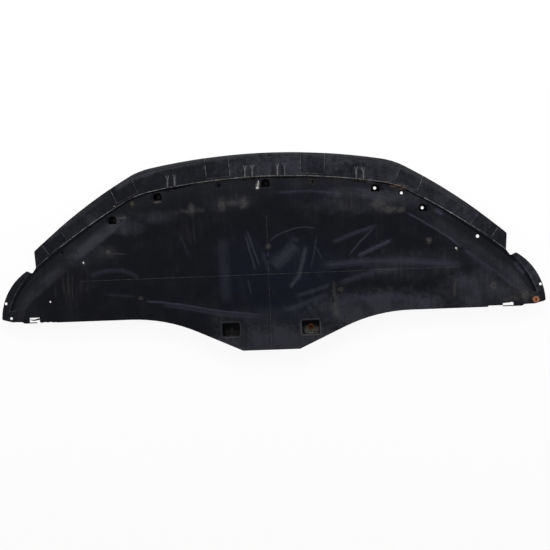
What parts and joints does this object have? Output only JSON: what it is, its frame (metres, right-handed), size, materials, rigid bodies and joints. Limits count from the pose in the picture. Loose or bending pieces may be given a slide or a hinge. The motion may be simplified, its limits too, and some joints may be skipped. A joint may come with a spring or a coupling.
{
  "type": "front bumper undertray",
  "caption": "Wide moulded undertray for a car's front bumper, with a curved bolt-on lip, sunk bolt pockets, swept-back wings and a rear tongue.",
  "frame": {"origin": "middle of the tray in plan, on the plane of the bolt pocket floors that it lies on", "axes": "+X to the side, +Y to the front of the car, +Z out of the road side, which lies upwards"},
  "size_m": [1.6338, 0.5899, 0.0372],
  "materials": {
    "tray_plastic": "worn satin black moulding, scuffed and dusty",
    "rusted_steel": "rusted through, pale orange"
  },
  "bodies": {
    "root": {"front_undertray": "tray_plastic", "wing_screw": "rusted_steel", "pocket_screw": "rusted_steel"}
  },
  "joints": []
}
